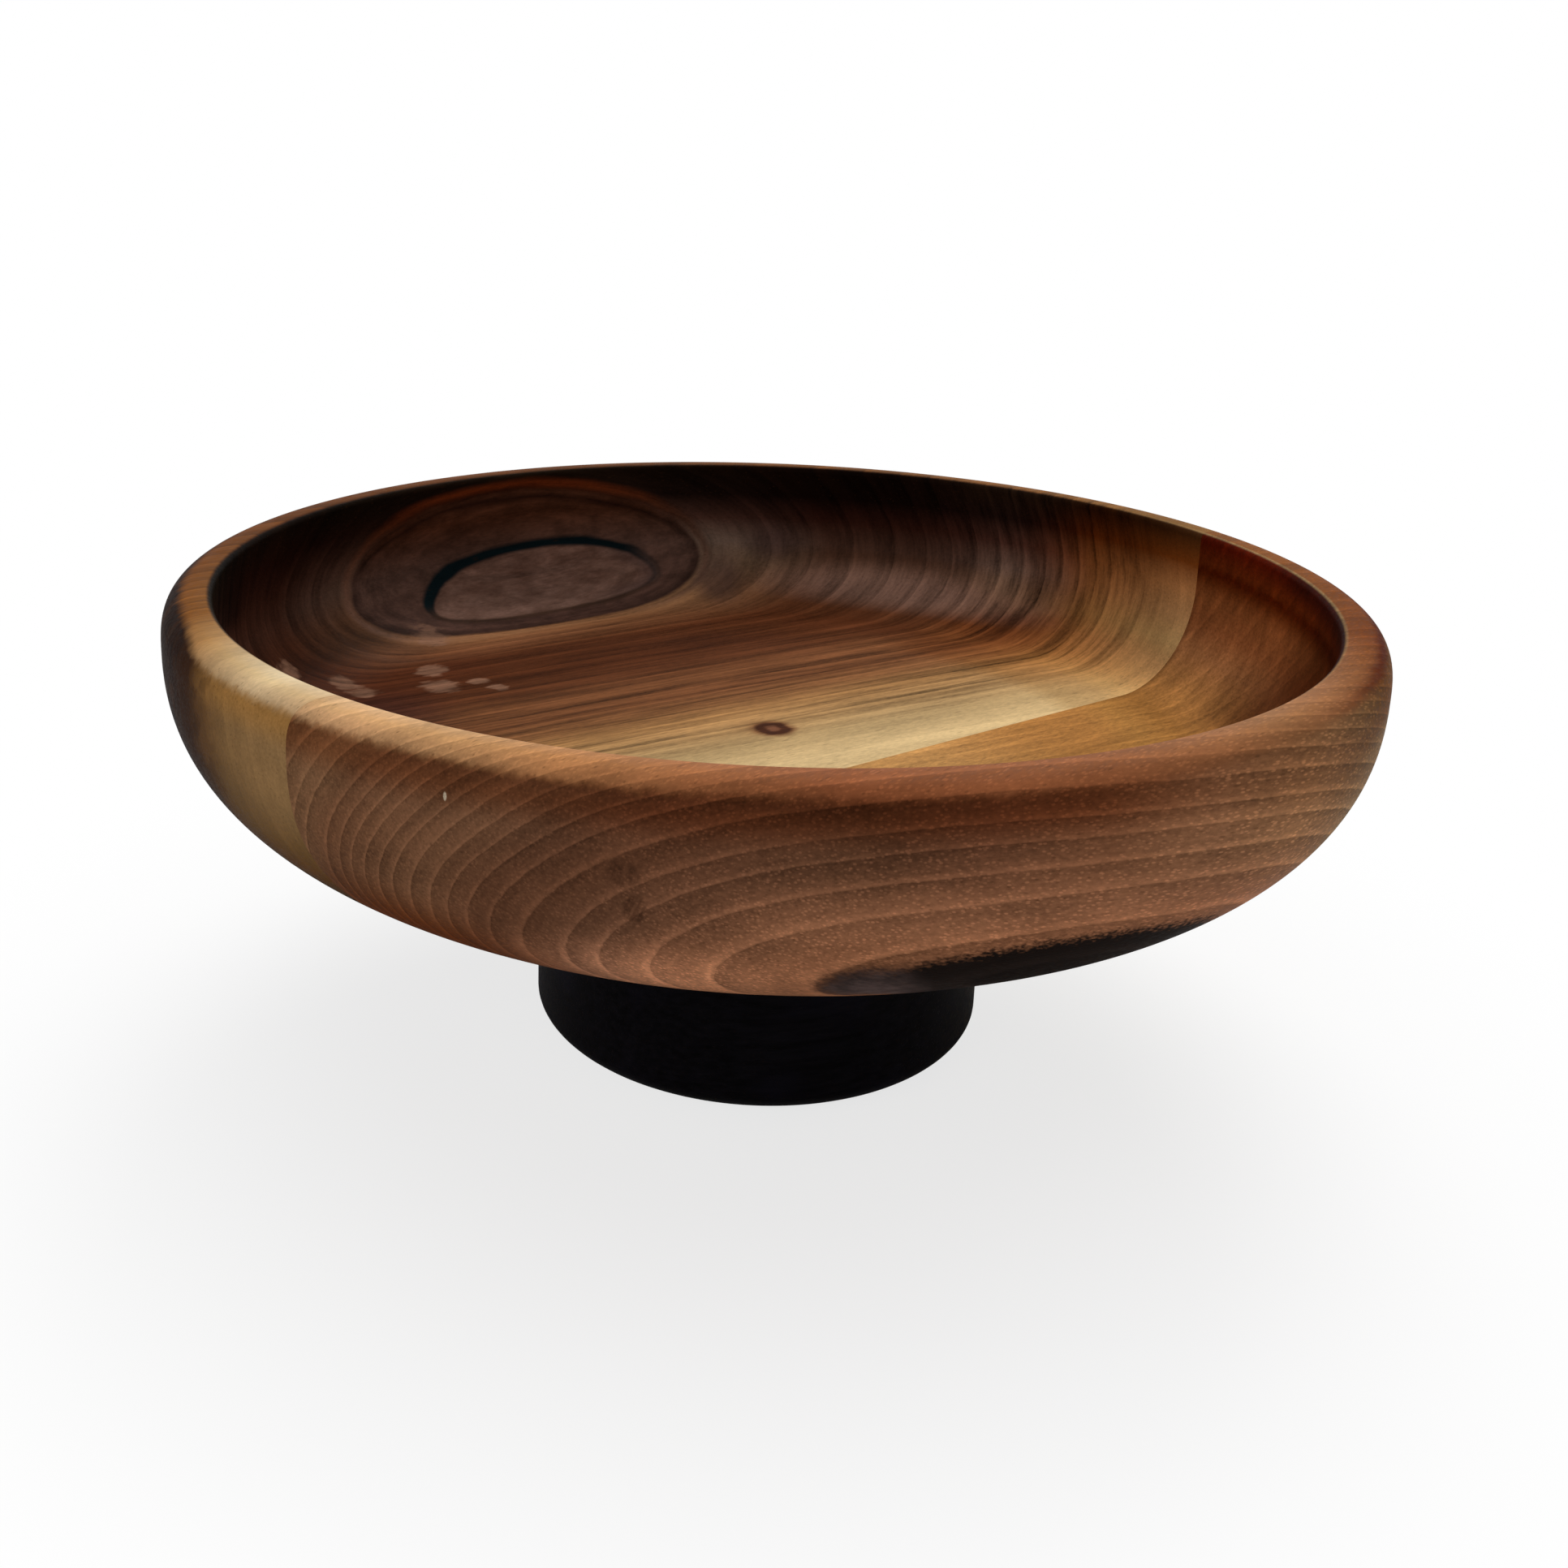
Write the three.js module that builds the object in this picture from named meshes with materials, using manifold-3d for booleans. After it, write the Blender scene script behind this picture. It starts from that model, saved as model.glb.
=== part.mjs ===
// Footed wooden fruit bowl: a shallow walnut bowl turned from two boards glued edge to edge, standing on a
// black-stained turned foot whose spigot is glued into a socket under the bowl.
// Millimetres, +Z up. The origin is the centre of the circle on which the foot stands.

import * as THREE from 'three';
import { mergeVertices } from 'three/addons/utils/BufferGeometryUtils.js';
import Module from 'manifold-3d';

// Bowl, outside
const BOWL_DIAMETER = 300; // at its widest ring
const WIDEST_BELOW_CREST = 11; // drop from the crest of the rim to the widest ring
const RIM_FULLNESS = 3; // superellipse exponent of the rolled rim, 2 is a plain quarter ellipse
const BELLY_FULLNESS = 2.33; // the same for the wall between the widest ring and the foot's seat

// Bowl, inside
const WALL_THICKNESS = 12; // at the widest ring
const LIP_RADIUS = 2; // rounding of the inner edge of the rim
const BOWL_DEPTH = 44; // from the crest down to the flat floor
const BASE_THICKNESS = 21.5; // between the flat floor and the flat seat for the foot
const COVE_RADIUS = 28; // hollow quarter round between floor and wall

// Blank: two boards meet in one upright plane, a little in front of the bowl's axis
const GLUE_LINE_ANGLE = 39.8; // degrees from +X to the glue line, seen from above
const GLUE_LINE_OFFSET = 31.3; // distance of the glue line from the bowl's axis
const GLUE_GAP = 0.3; // clearance left for glue between any two faces that are stuck together

// Foot
const FOOT_DIAMETER = 118;
const FOOT_HEIGHT = 57.2; // from the table to the shoulder that carries the bowl
const FOOT_EDGE_REACH = 16; // the lower edge is a quarter ellipse, this much inwards
const FOOT_EDGE_RISE = 8; // and this much upwards
const STANDING_RING_WIDTH = 8; // flat ring that meets the table
const RECESS_DEPTH = 3; // shallow hollow inside the standing ring
const RECESS_COVE = 2; // hollow round between the recess's wall and its ceiling
const SEAT_MARGIN = 3; // flat seat under the bowl, beyond the foot's shoulder
const SPIGOT_DIAMETER = 60;
const SPIGOT_HEIGHT = 6;
const SPIGOT_CHAMFER = 1;

// Fineness of the turned surfaces
const TURNS = 96; // flats round the axis
const BELLY_STEPS = 16;
const RIM_STEPS = 9;
const LIP_STEPS = 4;
const COVE_STEPS = 10;
const FOOT_EDGE_STEPS = 8;
const RECESS_COVE_STEPS = 3;

const WALNUT_BACK = { color: 0x8a5f43, roughness: 0.42, metalness: 0 };
const WALNUT_FRONT = { color: 0x93664a, roughness: 0.42, metalness: 0 };
const BLACK_STAIN = { color: 0x131216, roughness: 0.34, metalness: 0 };

// Heights above the table, and radii, that follow from the sizes above
const seatHeight = FOOT_HEIGHT + GLUE_GAP;
const floorHeight = seatHeight + BASE_THICKNESS;
const crestHeight = floorHeight + BOWL_DEPTH;
const widestHeight = crestHeight - WIDEST_BELOW_CREST;
const bowlRadius = BOWL_DIAMETER / 2;
const innerRadius = bowlRadius - WALL_THICKNESS;
const crestRadius = innerRadius + LIP_RADIUS;
const footRadius = FOOT_DIAMETER / 2;
const seatRadius = footRadius + SEAT_MARGIN;
const spigotRadius = SPIGOT_DIAMETER / 2;
const socketRadius = spigotRadius + GLUE_GAP;
const socketHeight = seatHeight + SPIGOT_HEIGHT;
const ringOuterRadius = footRadius - FOOT_EDGE_REACH;
const ringInnerRadius = ringOuterRadius - STANDING_RING_WIDTH;

const wasm = await Module();
wasm.setup();

// A quarter of a superellipse as [radius, height] points, both ends included. It leaves the point start
// running level and reaches the point end running upright. An exponent of 2 gives a circle or an ellipse.
function quarterCurve(start, end, exponent, steps) {
  const points = [];
  for (let i = 0; i <= steps; i += 1) {
    const turn = (i / steps) * (Math.PI / 2);
    const along = Math.sin(turn) ** (2 / exponent);
    const down = Math.cos(turn) ** (2 / exponent);
    points.push([
      start[0] + (end[0] - start[0]) * along,
      end[1] + (start[1] - end[1]) * down,
    ]);
  }
  return points;
}

// Joins stretches of outline, leaving out a point that only repeats the one before it.
function joinOutline(...stretches) {
  const outline = [];
  for (const point of stretches.flat()) {
    const last = outline.at(-1);
    const repeats = last && Math.hypot(point[0] - last[0], point[1] - last[1]) < 1e-6;
    if (!repeats) {
      outline.push(point);
    }
  }
  return outline;
}

// The bowl's section, from the top of the socket on the axis, round the outside and back along the floor.
function bowlOutline() {
  const socket = [[0, socketHeight], [socketRadius, socketHeight], [socketRadius, seatHeight]];
  const belly = quarterCurve([seatRadius, seatHeight], [bowlRadius, widestHeight], BELLY_FULLNESS, BELLY_STEPS);
  const rim = quarterCurve([crestRadius, crestHeight], [bowlRadius, widestHeight], RIM_FULLNESS, RIM_STEPS);
  const lip = quarterCurve([crestRadius, crestHeight], [innerRadius, crestHeight - LIP_RADIUS], 2, LIP_STEPS);
  const coveFoot = [innerRadius - COVE_RADIUS, floorHeight];
  const cove = quarterCurve(coveFoot, [innerRadius, floorHeight + COVE_RADIUS], 2, COVE_STEPS);
  return joinOutline(socket, belly, rim.reverse(), lip, cove.reverse(), [[0, floorHeight]]);
}

// The foot's section, from the ceiling of the recess on the axis, round the outside to the spigot's top.
function footOutline() {
  const coveStart = [ringInnerRadius - RECESS_COVE, RECESS_DEPTH];
  const recess = quarterCurve(coveStart, [ringInnerRadius, RECESS_DEPTH - RECESS_COVE], 2, RECESS_COVE_STEPS);
  const standingRing = [[ringInnerRadius, 0]];
  const edge = quarterCurve([ringOuterRadius, 0], [footRadius, FOOT_EDGE_RISE], 2, FOOT_EDGE_STEPS);
  const shoulder = [[footRadius, FOOT_HEIGHT], [spigotRadius, FOOT_HEIGHT]];
  const spigotTop = FOOT_HEIGHT + SPIGOT_HEIGHT;
  const spigot = [
    [spigotRadius, spigotTop - SPIGOT_CHAMFER],
    [spigotRadius - SPIGOT_CHAMFER, spigotTop],
    [0, spigotTop],
  ];
  return joinOutline([[0, RECESS_DEPTH]], recess, standingRing, edge, shoulder, spigot);
}

// A closed triangle mesh becomes a solid, with shared corners merged and collapsed triangles dropped.
function toSolid(geometry) {
  geometry.deleteAttribute('normal');
  geometry.deleteAttribute('uv');
  const welded = mergeVertices(geometry, 1e-4);
  const index = welded.index.array;
  const triangles = [];
  for (let i = 0; i < index.length; i += 3) {
    const [a, b, c] = index.slice(i, i + 3);
    if (a !== b && b !== c && c !== a) {
      triangles.push(a, b, c);
    }
  }
  const mesh = new wasm.Mesh({
    numProp: 3,
    vertProperties: new Float32Array(welded.attributes.position.array),
    triVerts: new Uint32Array(triangles),
  });
  return new wasm.Manifold(mesh);
}

// An outline turned about the upright axis.
function turnedSolid(outline) {
  const points = outline.map(([radius, height]) => new THREE.Vector2(radius, height));
  const geometry = new THREE.LatheGeometry(points, TURNS);
  geometry.rotateX(Math.PI / 2);
  return toSolid(geometry);
}

// A block larger than the bowl that fills one side of the glue line: side 1 is behind it, side -1 in front.
function blockBesideGlueLine(side) {
  const size = 2 * (BOWL_DIAMETER + crestHeight + GLUE_LINE_OFFSET);
  const geometry = new THREE.BoxGeometry(size, size, size);
  const face = -GLUE_LINE_OFFSET + (side * GLUE_GAP) / 2;
  geometry.translate(0, face + (side * size) / 2, 0);
  geometry.rotateZ(THREE.MathUtils.degToRad(GLUE_LINE_ANGLE));
  return toSolid(geometry);
}

function namedMesh(name, solid, finish) {
  const { vertProperties, triVerts } = solid.getMesh();
  const geometry = new THREE.BufferGeometry();
  geometry.setAttribute('position', new THREE.BufferAttribute(vertProperties, 3));
  geometry.setIndex(new THREE.BufferAttribute(triVerts, 1));
  geometry.computeVertexNormals();
  const mesh = new THREE.Mesh(geometry, new THREE.MeshStandardMaterial(finish));
  mesh.name = name;
  return mesh;
}

function makeBoards() {
  const bowl = turnedSolid(bowlOutline());
  const back = bowl.intersect(blockBesideGlueLine(1));
  const front = bowl.intersect(blockBesideGlueLine(-1));
  return [
    namedMesh('bowl_back_board', back, WALNUT_BACK),
    namedMesh('bowl_front_board', front, WALNUT_FRONT),
  ];
}

function makeFoot() {
  return namedMesh('foot', turnedSolid(footOutline()), BLACK_STAIN);
}

const footedBowl = new THREE.Group();
footedBowl.add(...makeBoards(), makeFoot());

export default footedBowl;
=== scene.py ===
# Footed walnut fruit bowl on a plain white floor, in metres, +Z up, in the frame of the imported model.
# The wood is a piece of a log: each board's growth rings are cylinders round the log's pith, and the bowl's
# surface shows them where it cuts them. Inside the wood shaders all lengths are in millimetres.

import math

import bmesh
import bpy
from mathutils import Matrix, Vector


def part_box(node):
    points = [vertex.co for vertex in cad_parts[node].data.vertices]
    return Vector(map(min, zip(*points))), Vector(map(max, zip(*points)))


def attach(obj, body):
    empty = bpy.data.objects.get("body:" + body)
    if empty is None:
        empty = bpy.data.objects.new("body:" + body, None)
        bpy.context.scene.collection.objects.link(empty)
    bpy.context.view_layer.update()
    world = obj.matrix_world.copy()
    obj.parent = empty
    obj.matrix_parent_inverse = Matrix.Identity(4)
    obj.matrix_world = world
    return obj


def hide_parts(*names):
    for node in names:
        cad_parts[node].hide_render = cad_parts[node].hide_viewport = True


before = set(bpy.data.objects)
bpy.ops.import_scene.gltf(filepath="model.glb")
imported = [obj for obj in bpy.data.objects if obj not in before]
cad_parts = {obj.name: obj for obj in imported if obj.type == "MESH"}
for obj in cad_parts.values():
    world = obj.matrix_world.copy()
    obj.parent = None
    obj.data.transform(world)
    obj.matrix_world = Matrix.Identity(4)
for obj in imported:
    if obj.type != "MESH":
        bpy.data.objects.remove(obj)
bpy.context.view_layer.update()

IMAGE_SIZE = 1932  # pixels, the photograph is square

# Camera, from the perspective of the bowl's round outline
CAMERA_PLACE = Vector((0.0, -0.430, 0.23437))
CAMERA_PAN = math.radians(-2.26)
CAMERA_TILT = math.radians(-14.61)
CAMERA_ROLL = math.radians(1.72)
FOCAL_PIXELS = 2134.4
PRINCIPAL_PIXEL = (869.3, 702.7)
SENSOR_WIDTH = 36.0

# Sizes of the turned bowl that the node boxes don't give, as in the solids
WIDEST_BELOW_CREST = 0.011
RIM_FULLNESS = 3.0
BELLY_FULLNESS = 2.33
WALL_THICKNESS = 0.012
LIP_RADIUS = 0.002
BOWL_DEPTH = 0.044
COVE_RADIUS = 0.028
SEAT_RADIUS = 0.062
SOCKET_RADIUS = 0.0303
SOCKET_DEPTH = 0.006
GLUE_LINE_ANGLE = math.radians(39.8)
GLUE_LINE_OFFSET = 0.0313
HAIRLINE = 0.00001

# Sizes of the turned foot
FOOT_EDGE_REACH = 0.016
FOOT_EDGE_RISE = 0.008
STANDING_RING_WIDTH = 0.008
RECESS_DEPTH = 0.003
RECESS_COVE = 0.002
SPIGOT_RADIUS = 0.030
SPIGOT_HEIGHT = 0.006
SPIGOT_CHAMFER = 0.001
SHOULDER_ROUND = 0.0008

TURNS = 288  # steps round the axis
CIRCLE = 2  # the exponent that makes a quarter curve a quarter circle
SAME_POINT = 1e-7  # points of an outline closer than this are one
SHARP_ANGLE = math.radians(35)
MILLIMETRES = 1000.0  # in a metre


# Camera

def make_camera():
    aim = Vector((
        math.sin(CAMERA_PAN) * math.cos(CAMERA_TILT),
        math.cos(CAMERA_PAN) * math.cos(CAMERA_TILT),
        math.sin(CAMERA_TILT),
    ))
    level_right = Vector((math.cos(CAMERA_PAN), -math.sin(CAMERA_PAN), 0.0))
    level_up = level_right.cross(aim)
    right = level_right * math.cos(CAMERA_ROLL) + level_up * math.sin(CAMERA_ROLL)
    up = level_up * math.cos(CAMERA_ROLL) - level_right * math.sin(CAMERA_ROLL)
    lens = bpy.data.cameras.new("camera")
    lens.sensor_width = SENSOR_WIDTH
    lens.lens = FOCAL_PIXELS * SENSOR_WIDTH / IMAGE_SIZE
    lens.shift_x = (IMAGE_SIZE / 2 - PRINCIPAL_PIXEL[0]) / IMAGE_SIZE
    lens.shift_y = (PRINCIPAL_PIXEL[1] - IMAGE_SIZE / 2) / IMAGE_SIZE
    camera = bpy.data.objects.new("camera", lens)
    axes = Matrix((right, up, -aim)).transposed().to_4x4()
    camera.matrix_world = Matrix.Translation(CAMERA_PLACE) @ axes
    bpy.context.scene.collection.objects.link(camera)
    bpy.context.scene.camera = camera


# Turned shapes

def quarter_curve(start, end, exponent, steps):
    """A quarter of a superellipse as (radius, height) points, level at its start and upright at its end."""
    points = []
    for i in range(steps + 1):
        turn = i / steps * math.pi / 2
        along = math.sin(turn) ** (2 / exponent)
        down = math.cos(turn) ** (2 / exponent)
        points.append((
            start[0] + (end[0] - start[0]) * along,
            end[1] + (start[1] - end[1]) * down,
        ))
    return points


def level_run(radius_from, radius_to, height, steps):
    """Points along a flat ring, so that its faces stay near square."""
    return [(radius_from + (radius_to - radius_from) * i / steps, height) for i in range(steps + 1)]


def upright_run(radius, height_from, height_to, steps):
    return [(radius, height_from + (height_to - height_from) * i / steps) for i in range(steps + 1)]


def join_outline(*stretches):
    """One outline of all the stretches. The last number of each stretch is its count of steps."""
    outline = []
    for stretch in stretches:
        for point in stretch:
            if not outline or math.dist(point, outline[-1]) > SAME_POINT:
                outline.append(point)
    return outline


def bowl_outline():
    low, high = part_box("bowl_back_board")
    bowl_radius = high.y
    seat = low.z
    crest = high.z
    widest = crest - WIDEST_BELOW_CREST
    inner = bowl_radius - WALL_THICKNESS
    floor = crest - BOWL_DEPTH
    crest_radius = inner + LIP_RADIUS
    socket_top = seat + SOCKET_DEPTH
    return join_outline(
        [(0.0, socket_top), (SOCKET_RADIUS, socket_top), (SOCKET_RADIUS, seat)],
        level_run(SOCKET_RADIUS, SEAT_RADIUS, seat, 12),
        quarter_curve((SEAT_RADIUS, seat), (bowl_radius, widest), BELLY_FULLNESS, 56),
        quarter_curve((crest_radius, crest), (bowl_radius, widest), RIM_FULLNESS, 22)[::-1],
        quarter_curve((crest_radius, crest), (inner, crest - LIP_RADIUS), CIRCLE, 8),
        upright_run(inner, crest - LIP_RADIUS, floor + COVE_RADIUS, 6),
        quarter_curve((inner - COVE_RADIUS, floor), (inner, floor + COVE_RADIUS), CIRCLE, 24)[::-1],
        level_run(inner - COVE_RADIUS, 0.0, floor, 24),
    )


def foot_outline():
    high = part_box("foot")[1]
    foot_radius = high.x
    spigot_top = high.z
    shoulder = spigot_top - SPIGOT_HEIGHT
    ring_outer = foot_radius - FOOT_EDGE_REACH
    ring_inner = ring_outer - STANDING_RING_WIDTH
    recess_start = (ring_inner - RECESS_COVE, RECESS_DEPTH)
    return join_outline(
        level_run(0.0, recess_start[0], RECESS_DEPTH, 8),
        quarter_curve(recess_start, (ring_inner, RECESS_DEPTH - RECESS_COVE), CIRCLE, 6),
        level_run(ring_inner, ring_outer, 0.0, 2),
        quarter_curve((ring_outer, 0.0), (foot_radius, FOOT_EDGE_RISE), CIRCLE, 16),
        upright_run(foot_radius, FOOT_EDGE_RISE, shoulder - SHOULDER_ROUND, 10),
        quarter_curve(
            (foot_radius - SHOULDER_ROUND, shoulder), (foot_radius, shoulder - SHOULDER_ROUND), CIRCLE, 4
        )[::-1],
        level_run(foot_radius - SHOULDER_ROUND, SPIGOT_RADIUS, shoulder, 4),
        [(SPIGOT_RADIUS, spigot_top - SPIGOT_CHAMFER), (SPIGOT_RADIUS - SPIGOT_CHAMFER, spigot_top)],
        [(0.0, spigot_top)],
    )


def turned_mesh(outline):
    """The outline turned about the upright axis as one closed bmesh."""
    mesh = bmesh.new()
    first = mesh.verts.new((0.0, 0.0, outline[0][1]))
    last = mesh.verts.new((0.0, 0.0, outline[-1][1]))
    rings = []
    for radius, height in outline[1:-1]:
        ring = []
        for i in range(TURNS):
            turn = 2 * math.pi * i / TURNS
            ring.append(mesh.verts.new((radius * math.cos(turn), radius * math.sin(turn), height)))
        rings.append(ring)
    for i in range(TURNS):
        j = (i + 1) % TURNS
        mesh.faces.new((first, rings[0][j], rings[0][i]))
        mesh.faces.new((last, rings[-1][i], rings[-1][j]))
        for inner, outer in zip(rings, rings[1:]):
            mesh.faces.new((inner[i], inner[j], outer[j], outer[i]))
    bmesh.ops.recalc_face_normals(mesh, faces=mesh.faces)
    return mesh


def keep_one_side(mesh, side):
    """Cuts the bowl along the glue line and closes the cut. Side 1 is the back board, side -1 the front."""
    across = Vector((-math.sin(GLUE_LINE_ANGLE), math.cos(GLUE_LINE_ANGLE), 0.0))
    place = across * (-GLUE_LINE_OFFSET + side * HAIRLINE / 2)
    everything = mesh.verts[:] + mesh.edges[:] + mesh.faces[:]
    cut = bmesh.ops.bisect_plane(
        mesh, geom=everything, dist=SAME_POINT, plane_co=place, plane_no=across,
        clear_inner=side > 0, clear_outer=side < 0,
    )
    edges = [e for e in cut["geom_cut"] if isinstance(e, bmesh.types.BMEdge)]
    bmesh.ops.triangle_fill(mesh, edges=edges, use_beauty=True)
    bmesh.ops.recalc_face_normals(mesh, faces=mesh.faces)


def make_piece(name, mesh, material, node):
    data = bpy.data.meshes.new(name)
    mesh.to_mesh(data)
    mesh.free()
    data.materials.append(material)
    data.shade_smooth()
    data.set_sharp_from_angle(angle=SHARP_ANGLE)
    piece = bpy.data.objects.new(name, data)
    bpy.context.scene.collection.objects.link(piece)
    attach(piece, "root")
    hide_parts(node)


# Shader fields: numbers, points and colours that vary over a surface, written as formulas

class Shader:
    """A material's node tree, with short calls that add a node and return its output."""

    def __init__(self, name):
        self.material = bpy.data.materials.new(name)
        self.material.use_nodes = True
        self.tree = self.material.node_tree
        self.tree.nodes.clear()

    def node(self, kind, **settings):
        made = self.tree.nodes.new(kind)
        for key, value in settings.items():
            setattr(made, key, value)
        return made

    def feed(self, socket, value):
        if isinstance(value, Field):
            self.tree.links.new(value.socket, socket)
        elif value is not None:
            socket.default_value = value

    def math(self, operation, *values):
        made = self.node("ShaderNodeMath", operation=operation)
        for socket, value in zip(made.inputs, values):
            self.feed(socket, value)
        return Field(self, made.outputs[0])

    def vector_math(self, operation, *values, output=0):
        made = self.node("ShaderNodeVectorMath", operation=operation)
        for socket, value in zip(made.inputs, values):
            self.feed(socket, value)
        return Field(self, made.outputs[output])

    def place(self):
        """The point on the piece, in millimetres in the model's frame."""
        made = self.node("ShaderNodeTexCoord")
        return self.vector_math("MULTIPLY", Field(self, made.outputs["Object"]), (MILLIMETRES,) * 3)

    def dot(self, point, direction):
        return self.vector_math("DOT_PRODUCT", point, tuple(direction), output="Value")

    def point(self, x, y, z):
        made = self.node("ShaderNodeCombineXYZ")
        for socket, value in zip(made.inputs, (x, y, z)):
            self.feed(socket, value)
        return Field(self, made.outputs[0])

    def noise(self, point, detail=2.0, roughness=0.5):
        made = self.node("ShaderNodeTexNoise", noise_dimensions="3D")
        self.feed(made.inputs["Vector"], point)
        made.inputs["Scale"].default_value = 1.0
        made.inputs["Detail"].default_value = detail
        made.inputs["Roughness"].default_value = roughness
        return Field(self, made.outputs["Fac"])

    def swing(self, noise, reach):
        """Noise, which stays near a half, spread to run from -1 to 1."""
        return self.ramp(noise, 0.5 - reach, 0.5 + reach, -1.0, 1.0, smooth=False)

    def cells(self, point):
        """Distance to the nearest of many scattered points, one to each unit cell."""
        made = self.node("ShaderNodeTexVoronoi", voronoi_dimensions="3D", feature="F1")
        self.feed(made.inputs["Vector"], point)
        made.inputs["Scale"].default_value = 1.0
        return Field(self, made.outputs["Distance"])

    def ramp(self, value, low, high, to_low=0.0, to_high=1.0, smooth=True):
        """Goes from to_low to to_high while value goes from low to high, and stays there."""
        made = self.node("ShaderNodeMapRange", clamp=True)
        made.interpolation_type = "SMOOTHSTEP" if smooth else "LINEAR"
        for key, number in (("From Min", low), ("From Max", high), ("To Min", to_low), ("To Max", to_high)):
            made.inputs[key].default_value = number
        self.feed(made.inputs["Value"], value)
        return Field(self, made.outputs[0])

    def steps(self, value, edges):
        """Counts up by one from each edge to the next, in straight lines."""
        low, high, top = edges[0], edges[-1], len(edges) - 1
        made = self.node("ShaderNodeFloatCurve")
        line = made.mapping.curves[0]
        while len(line.points) < len(edges):
            line.points.new(0.5, 0.5)
        for count, (spot, edge) in enumerate(zip(line.points, edges)):
            spot.location = ((edge - low) / (high - low), count / top)
            spot.handle_type = "VECTOR"
        made.mapping.update()
        self.feed(made.inputs["Value"], (value - low) * (1 / (high - low)))
        return Field(self, made.outputs[0]) * top

    def colours(self, value, stops):
        """A colour that changes evenly through (value, colour) stops."""
        low, high = stops[0][0], stops[-1][0]
        made = self.node("ShaderNodeValToRGB")
        line = made.color_ramp
        while len(line.elements) < len(stops):
            line.elements.new(0.5)
        for spot, (at, colour) in zip(line.elements, stops):
            spot.position = (at - low) / (high - low)
            spot.color = (*colour, 1.0)
        self.feed(made.inputs["Fac"], (value - low) * (1 / (high - low)))
        return Field(self, made.outputs["Color"])

    def tint(self, value, stops):
        """The same for shares of a colour, which may be over 1."""
        peak = max(max(shares) for at, shares in stops)
        lowered = [(at, tuple(share / peak for share in shares)) for at, shares in stops]
        return self.scaled(self.colours(value, lowered), peak)

    def times(self, first, second):
        return self.vector_math("MULTIPLY", first, second)

    def mix(self, share, first, second, blend="MIX"):
        made = self.node("ShaderNodeMix", data_type="RGBA", blend_type=blend, clamp_factor=True)
        self.feed(made.inputs["Factor"], share)
        for key, colour in (("A", first), ("B", second)):
            socket = [s for s in made.inputs if s.name == key and s.type == "RGBA"][0]
            self.feed(socket, colour if isinstance(colour, Field) else (*colour, 1.0))
        return Field(self, [s for s in made.outputs if s.type == "RGBA"][0])

    def scaled(self, colour, factor):
        """The colour made lighter or darker by a factor that varies."""
        return self.vector_math("SCALE", colour, None, None, factor)

    def far_from(self, point, centre, radii):
        """Distance from an ellipsoid's centre, as a share of its radii: 1 on its skin."""
        offset = self.vector_math("SUBTRACT", point, centre)
        shares = self.vector_math("DIVIDE", offset, radii)
        return self.vector_math("LENGTH", shares, output="Value")

    def spot(self, point, centre, radii, soft=0.5):
        """1 inside an ellipsoid, falling to 0 at its skin over a soft share of its radii."""
        return self.ramp(self.far_from(point, centre, radii), 1.0, 1.0 - soft, 0.0, 1.0)

    def mark(self, point, colour, place, strength, tone):
        """The colour with a soft spot of a tone in it. The place is its centre, radii and softness."""
        return self.mix(self.spot(point, *place) * strength, colour, tone)

    def bump(self, height, distance, strength):
        made = self.node("ShaderNodeBump")
        made.inputs["Distance"].default_value = distance
        made.inputs["Strength"].default_value = strength
        self.feed(made.inputs["Height"], height)
        return Field(self, made.outputs["Normal"])

    def surface(self, colour, roughness, normal, specular):
        shader = self.node("ShaderNodeBsdfPrincipled")
        self.feed(shader.inputs["Base Color"], colour)
        self.feed(shader.inputs["Roughness"], roughness)
        self.feed(shader.inputs["Normal"], normal)
        shader.inputs["Specular IOR Level"].default_value = specular
        out = self.node("ShaderNodeOutputMaterial")
        self.tree.links.new(shader.outputs[0], out.inputs["Surface"])
        return self.material


class Field:
    """One output of a node, with arithmetic for numbers."""

    def __init__(self, shader, socket):
        self.shader = shader
        self.socket = socket

    def __add__(self, other):
        return self.shader.math("ADD", self, other)

    def __sub__(self, other):
        return self.shader.math("SUBTRACT", self, other)

    def __mul__(self, other):
        return self.shader.math("MULTIPLY", self, other)

    def __neg__(self):
        return self.shader.math("MULTIPLY", self, -1.0)


# Walnut

# Growth rings of each board, by their distance from the pith in millimetres
FRONT_RINGS = (
    60, 66, 72, 79, 84.5, 91, 96.3, 101.3, 105, 110.3, 114.5, 117.6, 120.6, 123.3, 126.5, 129.5,
    132, 134.7, 137.4, 140, 143, 148.2, 151.5, 156, 161, 166, 172, 179, 187, 196,
)
BACK_RINGS = (
    30, 71, 80, 88, 97, 106.5, 114.3, 121, 128, 135, 142, 148.7, 154, 159.4, 165,
    170, 176, 182, 188, 195, 203, 212, 222, 240,
)

HEART_BLACK = (0.016, 0.010, 0.008)
HEART_GREY = (0.22, 0.145, 0.13)
HEART_EDGE = (0.46, 0.19, 0.09)
WARM_BROWN = (0.40, 0.17, 0.083)
MID_BROWN = (0.255, 0.105, 0.051)
DARK_RED_BROWN = (0.20, 0.075, 0.034)
GREY_BROWN = (0.225, 0.094, 0.043)
LEFT_BROWN = (0.29, 0.138, 0.064)

FRONT_COLOURS = (
    (60, HEART_BLACK),
    (82.7, HEART_BLACK),
    (84, HEART_EDGE),
    (89, WARM_BROWN),
    (100, MID_BROWN),
    (108, DARK_RED_BROWN),
    (115, DARK_RED_BROWN),
    (124, GREY_BROWN),
    (142, GREY_BROWN),
    (150, LEFT_BROWN),
    (200, LEFT_BROWN),
)

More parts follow.
